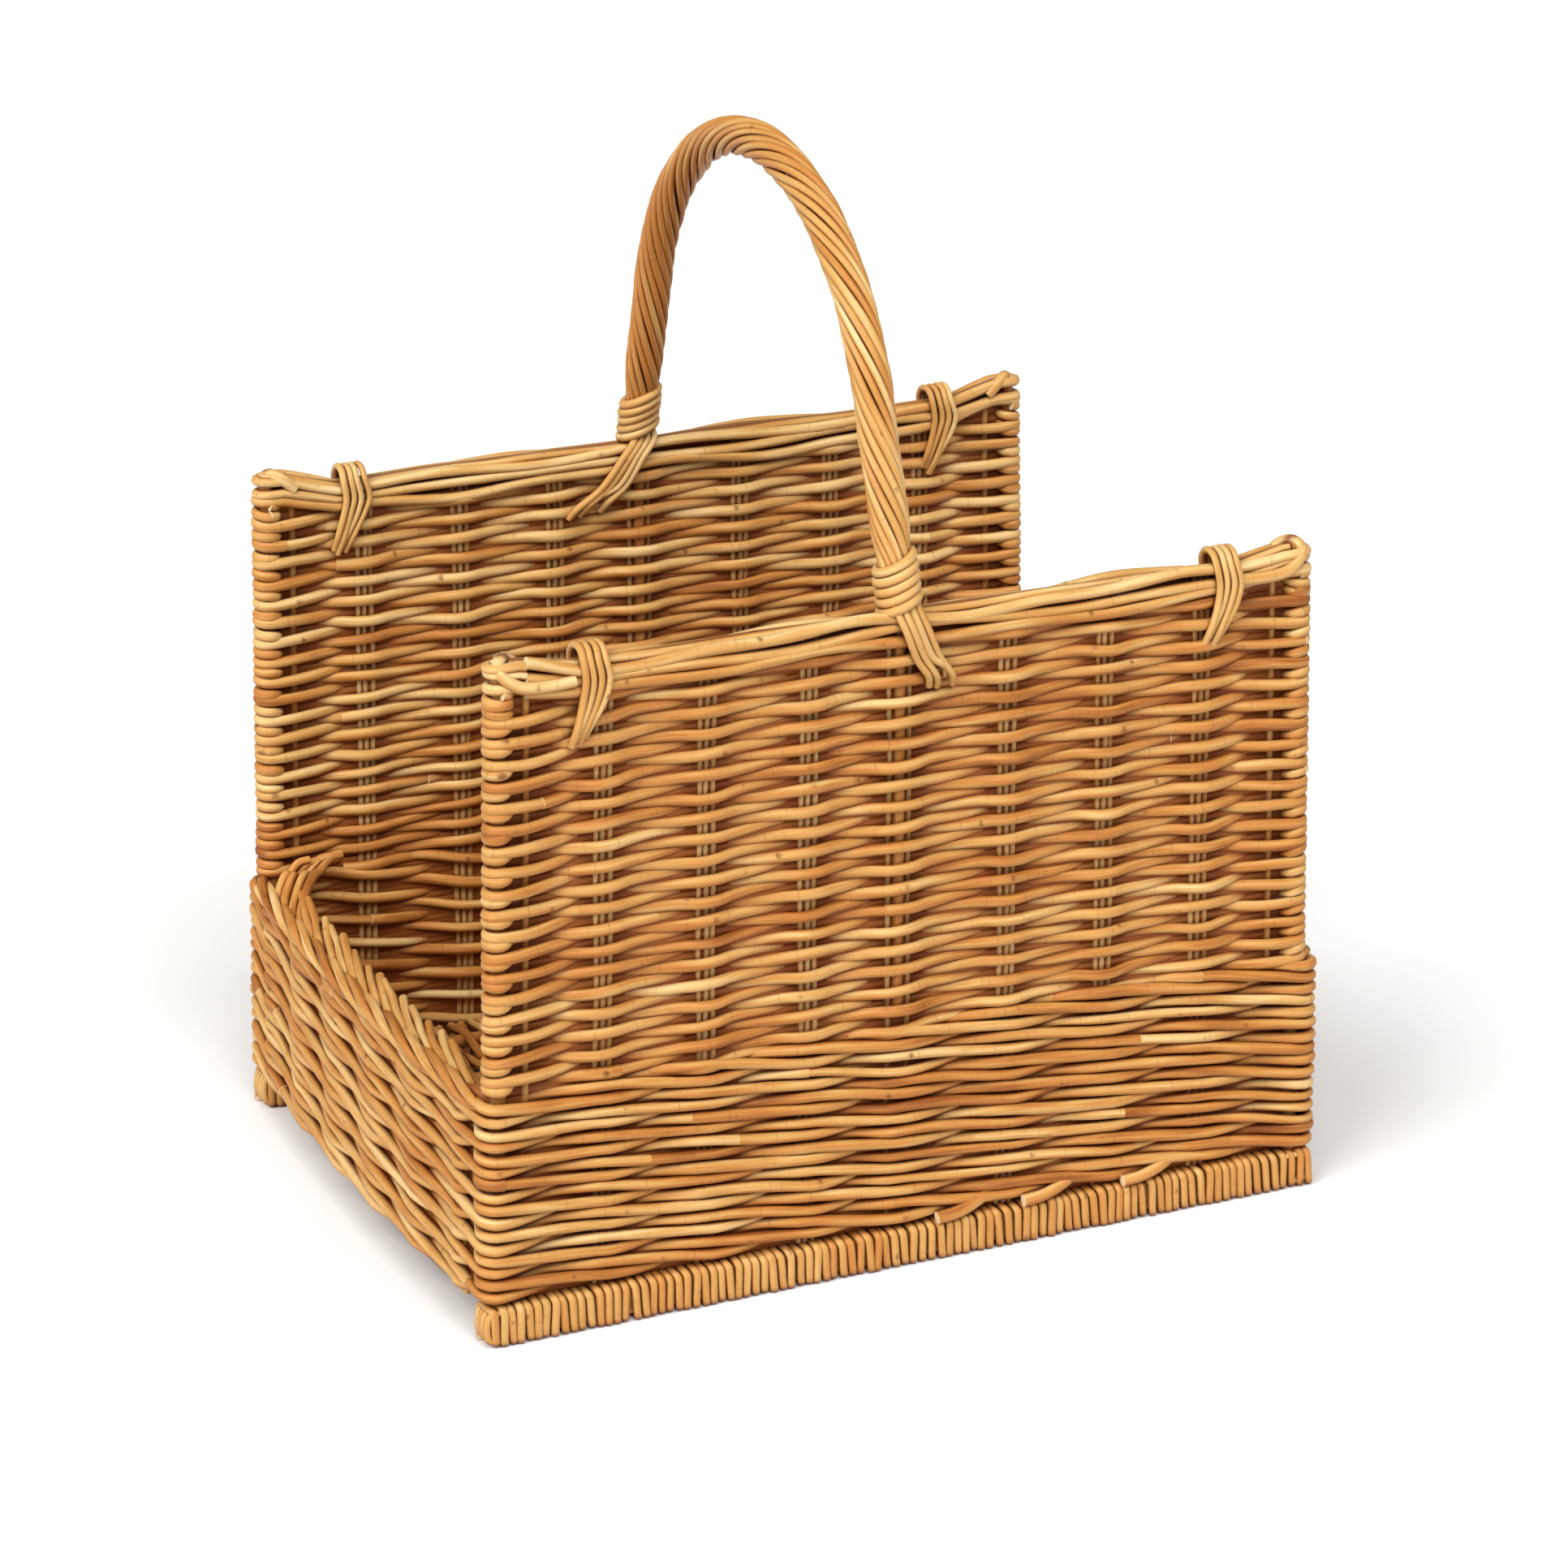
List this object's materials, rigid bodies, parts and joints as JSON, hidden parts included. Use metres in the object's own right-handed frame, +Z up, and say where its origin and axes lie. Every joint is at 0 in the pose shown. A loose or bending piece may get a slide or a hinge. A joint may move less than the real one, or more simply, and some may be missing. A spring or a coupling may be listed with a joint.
{
  "type": "wicker log basket",
  "caption": "Open-ended woven willow log carrier: low waled tray on two wrapped foot rails, two tall woven side panels and a roped arch handle.",
  "frame": {"origin": "middle of the base at floor level: the centre of the bounding box in X and Y, on the plane of the feet's undersides", "axes": "+X along the side panels towards the right end, +Y across the basket towards the back panel, +Z up; the handle arches over the basket in the YZ plane"},
  "size_m": [0.533, 0.387, 0.6239],
  "materials": {
    "woven_willow": "peeled buff willow weaving rods, honey to orange brown, low sheen",
    "pale_willow": "paler straw-coloured willow rods, low sheen",
    "binding_cane": "fine willow and split cane, smooth, slight gloss",
    "stake_rod": "thin round willow uprights, mid brown",
    "stout_rod": "thick peeled willow sticks, matt"
  },
  "bodies": {
    "root": {"base_sticks": "stout_rod", "base_weave": "woven_willow", "corner_post_back_left": "stout_rod", "corner_post_back_right": "stout_rod", "corner_post_front_left": "stout_rod", "corner_post_front_right": "stout_rod", "end_border_left": "woven_willow", "end_border_right": "woven_willow", "end_stakes_left": "stake_rod", "end_stakes_right": "stake_rod", "foot_core_back": "stout_rod", "foot_core_front": "stout_rod", "foot_wrap_back": "binding_cane", "foot_wrap_front": "binding_cane", "handle_binding_back": "binding_cane", "handle_binding_front": "binding_cane", "handle_bow": "stout_rod", "handle_rope": "pale_willow", "handle_tails_back": "binding_cane", "handle_tails_front": "binding_cane", "lashing_back_left": "binding_cane", "lashing_back_right": "binding_cane", "lashing_front_left": "binding_cane", "lashing_front_right": "binding_cane", "panel_stakes_back_1": "stake_rod", "panel_stakes_back_2": "stake_rod", "panel_stakes_back_3": "stake_rod", "panel_stakes_back_4": "stake_rod", "panel_stakes_back_5": "stake_rod", "panel_stakes_back_6": "stake_rod", "panel_stakes_back_7": "stake_rod", "panel_stakes_front_1": "stake_rod", "panel_stakes_front_2": "stake_rod", "panel_stakes_front_3": "stake_rod", "panel_stakes_front_4": "stake_rod", "panel_stakes_front_5": "stake_rod", "panel_stakes_front_6": "stake_rod", "panel_stakes_front_7": "stake_rod", "panel_weave_back": "woven_willow", "panel_weave_front": "woven_willow", "post_wrap_back_left": "binding_cane", "post_wrap_back_right": "binding_cane", "post_wrap_front_left": "binding_cane", "post_wrap_front_right": "binding_cane", "top_rim_back": "pale_willow", "top_rim_front": "pale_willow", "tray_wall_back": "woven_willow", "tray_wall_front": "woven_willow", "tray_wall_left": "woven_willow", "tray_wall_right": "woven_willow"}
  },
  "joints": []
}
